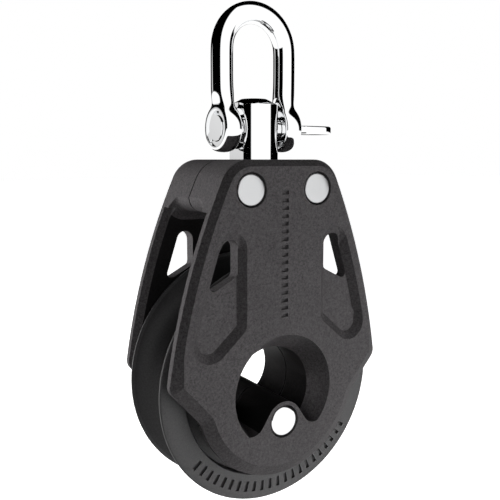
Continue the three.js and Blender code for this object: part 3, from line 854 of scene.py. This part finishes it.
# Shackle
bowSize = {
    "wire": 1.75, "bend": 5.9, "bendZ": 52.95, "earX": (4.2, 7.2), "earR": 3.65, "foot": 45.6, "footIn": 0.1,
    "footSwell": 1.04, "legRings": (47.2, 50.0), "crownSteps": 7, "level": 3, "turns": 12, "wireTurns": 8,
    "earFace": ((0.45, 0), (0.75, 0), (0.93, 0), (1.0, 0.3)), "earCrest": 1.05,
    "seat": (2.9, 0.3), "past": 9, "slotWide": 1.6, "slotTop": 2.6, "slotLong": 5, "slotOut": 1.6,
}


def ringSwell(steps):
    # subdivision draws a ring of this many steps in by this much
    return 6 / (4 + 2 * cos(2 * pi / steps))


def bowCage():
    # one ear and half the bow as a coarse cage for subdivision, then its mirror image
    b = bowSize
    inside, outside = b["earX"]
    middle = (inside + outside) / 2
    wireR = b["wire"] * ringSwell(b["wireTurns"])
    rim = b["earR"] * ringSwell(b["turns"])
    half = [(rim * part, inside + step) for part, step in b["earFace"]]
    profile = half + [(rim * b["earCrest"], middle)] + [(r, inside + outside - x) for r, x in reversed(half)]
    bm = latheSolid([(0, inside)] + profile + [(0, outside)], "X", b["turns"])
    bmesh.ops.translate(bm, vec=(0, 0, pinSize["z"]), verts=bm.verts)
    crest = [v for v in bm.verts
             if abs(v.co.x - middle) < 1e-3 and abs(v.co.y) < 1e-3 and v.co.z > pinSize["z"]]
    bmesh.ops.delete(bm, geom=crest, context="VERTS")
    hole = [e for e in bm.edges if e.is_boundary]
    place = Matrix.Translation((b["bend"] - b["footIn"], 0, b["foot"]))
    ring = bmesh.ops.create_circle(bm, cap_ends=False, segments=b["wireTurns"], radius=wireR * b["footSwell"],
                                   matrix=place)["verts"]
    ringEdges = list({e for v in ring for e in v.link_edges})
    bmesh.ops.bridge_loops(bm, edges=hole + ringEdges)
    for z in (*b["legRings"], b["bendZ"]):
        grown = bmesh.ops.extrude_edge_only(bm, edges=ringEdges)
        ring = onlyOf(bmesh.types.BMVert, grown["geom"])
        ringEdges = [e for e in onlyOf(bmesh.types.BMEdge, grown["geom"]) if all(v in ring for v in e.verts)]
        centre = sum((v.co for v in ring), Vector()) / len(ring)
        for v in ring:
            v.co = Vector((b["bend"], 0, z)) + (v.co - centre).normalized() * wireR
    swung = bmesh.ops.spin(bm, geom=ring + ringEdges, cent=(0, 0, b["bendZ"]), axis=(0, -1, 0),
                           angle=pi / 2, steps=b["crownSteps"])
    for v in onlyOf(bmesh.types.BMVert, swung["geom_last"]):
        v.co.x = 0
    bmesh.ops.mirror(bm, geom=bm.verts[:] + bm.edges[:] + bm.faces[:], merge_dist=1e-3, axis="X")
    return bm


def makeBow():
    b = bowSize
    bow = scratchObject(bowCage())
    smooth = bow.modifiers.new("round", "SUBSURF")
    smooth.levels = smooth.render_levels = b["level"]
    bakeModifiers(bow)
    combine(bow, scratchObject(alongPin(pinSize["boreR"], -b["past"], b["past"])))
    seatR, seatDeep = b["seat"]
    inside, outside = b["earX"]
    combine(bow, scratchObject(alongPin(seatR, -b["past"], seatDeep - outside)))
    # the key's way in, straight up from the bore
    slot = addBox(bmesh.new(), (b["slotLong"], b["slotWide"], b["slotTop"]),
                  (-inside - b["slotOut"], 0, pinSize["z"] + b["slotTop"] / 2))
    combine(bow, scratchObject(slot))
    finishPiece(bow, "shackleBow", "shackle", ["shackle_bow"], [polishedSteel], smooth=35)


def tabTool():
    # flat thumb tab, drawn lying down with its long way along X, with round edges
    p = pinSize
    half = p["tabWide"] / 2
    root, rootR = p["tabFrom"] + p["tabRootR"], p["tabRootR"]
    neck, neckR = p["tabFrom"] + p["tabTaper"] + p["tabCornerR"] / 2, p["tabCornerR"]
    rootZ, neckZ = p["r"] - rootR - 0.02, half - neckR
    bm = bmesh.new()
    face = traceFace(bm, [((p["tabEnd"] - half, 0), half, -pi / 2, pi / 2),
                          ((neck, neckZ), neckR, pi / 2, 0.8 * pi),
                          ((root, rootZ), rootR, 0.8 * pi, pi),
                          ((root, -rootZ), rootR, pi, 1.2 * pi),
                          ((neck, -neckZ), neckR, 1.2 * pi, 1.5 * pi)], -p["tabThick"] / 2)
    pushCap(bm, face, p["tabThick"])
    bmesh.ops.recalc_face_normals(bm, faces=bm.faces)
    rims = [e for e in bm.edges if abs(e.verts[0].co.y - e.verts[1].co.y) < 1e-4]
    bmesh.ops.bevel(bm, geom=rims, offset=p["tabSoft"], segments=4, affect="EDGES", profile=0.5, material=-1)
    return turnedOnPin(bm, -pi / 2)


def turnedOnPin(bm, angle):
    # turns a shape about X and lifts it to the pin's axis
    place = Matrix.Translation((0, 0, pinSize["z"])) @ Matrix.Rotation(angle, 4, "X")
    bmesh.ops.transform(bm, matrix=place, verts=bm.verts)
    return scratchObject(bm)


def makePin():
    p = pinSize
    pin = scratchObject(alongPin(p["r"], p["tip"], p["tabFrom"] + 0.4, 96))
    combine(pin, tabTool(), "UNION")
    holeX, holeR = p["hole"]
    hole = latheSolid([(0, -2), (holeR, -2), (holeR, 2), (0, 2)], "Z", 48)
    bmesh.ops.translate(hole, vec=(holeX, 0, p["z"]), verts=hole.verts)
    combine(pin, scratchObject(hole))
    key = addBox(bmesh.new(), (p["keyThick"], p["keyReach"] - 1, p["keyWide"]),
                 (p["tip"] + p["keyThick"] / 2, (p["keyReach"] + 1) / 2, 0))
    combine(pin, turnedOnPin(key, p["keyAngle"]), "UNION")
    finishPiece(pin, "shacklePin", "pin", ["shackle_pin"], [polishedSteel])


makeBow()
makePin()
print("shackle made")


# Floor, light and camera
studio = {
    "floorDrop": 0.07, "floorSize": 4.0, "floorGlow": 0.95, "ambient": 0.07, "screen": 1.15,
    "lampTarget": (0, 0, -0.045),
    "bandCentre": radians(5), "bandHalf": radians(50), "bandEdge": 0.02, "bandRamp": 14.0,
    "belowFrom": 0.02, "belowRamp": 25.0,
    "backPanel": (-0.52, 0.85, 0.07), "backHalf": radians(11), "backRamp": 60.0, "backShade": 0.68,
}
lamps = {
    "keyLight": {"from": (0.70, -0.58, -0.50), "distance": 0.6, "size": 0.6, "power": 23.0},
    "rimLight": {"from": (-0.5, 0.85, 0.05), "distance": 0.5, "size": 0.4, "power": 6.2},
    "fillLight": {"from": (-0.6, -0.8, -0.1), "distance": 0.6, "size": 0.3, "power": 1.1},
}
cameraSize = {"azimuth": radians(-32.3), "down": radians(7.7), "lens": 48.2, "sensor": 36.0,
              "place": (-59.5, -93.0, 35.7)}


def makeFloor():
    # glowing floor well below the block, which neither lights it nor shows in its metal
    bm = bmesh.new()
    bmesh.ops.create_grid(bm, x_segments=1, y_segments=1, size=studio["floorSize"])
    bmesh.ops.translate(bm, vec=(0, 0, sheaveLow[2] - studio["floorDrop"]), verts=bm.verts)
    floor = scratchObject(bm, "floor")
    material, tree, shader, place = newMaterial("paleFloor")
    tone = mixColour(tree, addNoise(tree, place, 30.0, 2.0), (0.93, 0.93, 0.93), (0.97, 0.97, 0.97))
    tree.links.new(tone, shader.inputs["Base Color"])
    shader.inputs["Roughness"].default_value = 0.9
    shader.inputs["Emission Color"].default_value = (1, 1, 1, 1)
    shader.inputs["Emission Strength"].default_value = studio["floorGlow"]
    floor.data.materials.append(material)
    floor.visible_glossy = False
    floor.visible_diffuse = False


def addAreaLight(name, spec):
    # round soft light, aimed at the middle of the block
    lamp = bpy.data.lights.new(name, "AREA")
    lamp.shape = "DISK"
    lamp.size = spec["size"]
    lamp.energy = spec["power"]
    light = bpy.data.objects.new(name, lamp)
    way = Vector(spec["from"]).normalized()
    light.location = Vector(studio["lampTarget"]) + way * spec["distance"]
    light.rotation_euler = way.to_track_quat("Z", "Y").to_euler()
    light.visible_glossy = False
    light.visible_camera = False
    bpy.context.scene.collection.objects.link(light)


def makeWorld():
    # The camera sees plain white. Reflections see a white screen in front, a white lower half and a
    # small panel behind, with dark sides. Dull surfaces get a weak even light.
    world = bpy.data.worlds.new("studioWorld")
    bpy.context.scene.world = world
    world.use_nodes = True
    tree = world.node_tree
    sky = tree.nodes["Background"]
    way = addNode(tree, "ShaderNodeTexCoord").outputs["Generated"]
    turned = addNode(tree, "ShaderNodeVectorRotate", rotation_type="Z_AXIS")
    turned.inputs["Angle"].default_value = -studio["bandCentre"]
    tree.links.new(way, turned.inputs["Vector"])
    split = addNode(tree, "ShaderNodeSeparateXYZ")
    tree.links.new(turned.outputs[0], split.inputs[0])
    front = addMath(tree, "MULTIPLY", split.outputs["Y"], -1.0)
    sideways = addMath(tree, "ABSOLUTE", split.outputs["X"])
    across = addMath(tree, "MULTIPLY", sideways, 1 / tan(studio["bandHalf"]))
    toBand = addMath(tree, "ADD", addMath(tree, "SUBTRACT", front, across), studio["bandEdge"])
    inBand = addMath(tree, "MULTIPLY", toBand, studio["bandRamp"], clamp=True)
    toBelow = addMath(tree, "SUBTRACT", -studio["belowFrom"], split.outputs["Z"])
    inBelow = addMath(tree, "MULTIPLY", toBelow, studio["belowRamp"], clamp=True)
    facing = addNode(tree, "ShaderNodeVectorMath", operation="DOT_PRODUCT")
    tree.links.new(way, facing.inputs[0])
    facing.inputs[1].default_value = studio["backPanel"]
    toBack = addMath(tree, "SUBTRACT", facing.outputs["Value"], cos(studio["backHalf"]))
    inBack = addMath(tree, "MULTIPLY", toBack, studio["backRamp"], clamp=True)
    panels = addMath(tree, "MAXIMUM", addMath(tree, "MAXIMUM", inBand, inBelow),
                     addMath(tree, "MULTIPLY", inBack, studio["backShade"]))
    rays = addNode(tree, "ShaderNodeLightPath")
    mirrored = addMath(tree, "MULTIPLY", addMath(tree, "MULTIPLY", panels, rays.outputs["Is Glossy Ray"]),
                       studio["screen"])
    soft = addMath(tree, "MULTIPLY", rays.outputs["Is Diffuse Ray"], studio["ambient"])
    whole = addMath(tree, "ADD", addMath(tree, "ADD", mirrored, soft), rays.outputs["Is Camera Ray"])
    tree.links.new(whole, sky.inputs["Strength"])
    sky.inputs["Color"].default_value = (1, 1, 1, 1)


makeFloor()
for lampName, lampSpec in lamps.items():
    addAreaLight(lampName, lampSpec)
makeWorld()

lens = bpy.data.cameras.new("blockCamera")
lens.sensor_width = cameraSize["sensor"]
lens.lens = cameraSize["lens"]
lens.clip_start = 0.005
camera = bpy.data.objects.new("blockCamera", lens)
camera.location = toFrame @ Vector(cameraSize["place"])
camera.rotation_euler = (pi / 2 - cameraSize["down"], 0, cameraSize["azimuth"])
bpy.context.scene.collection.objects.link(camera)
bpy.context.scene.camera = camera
bpy.context.scene.view_settings.view_transform = "Standard"
print("studio made")

bpy.context.view_layer.update()
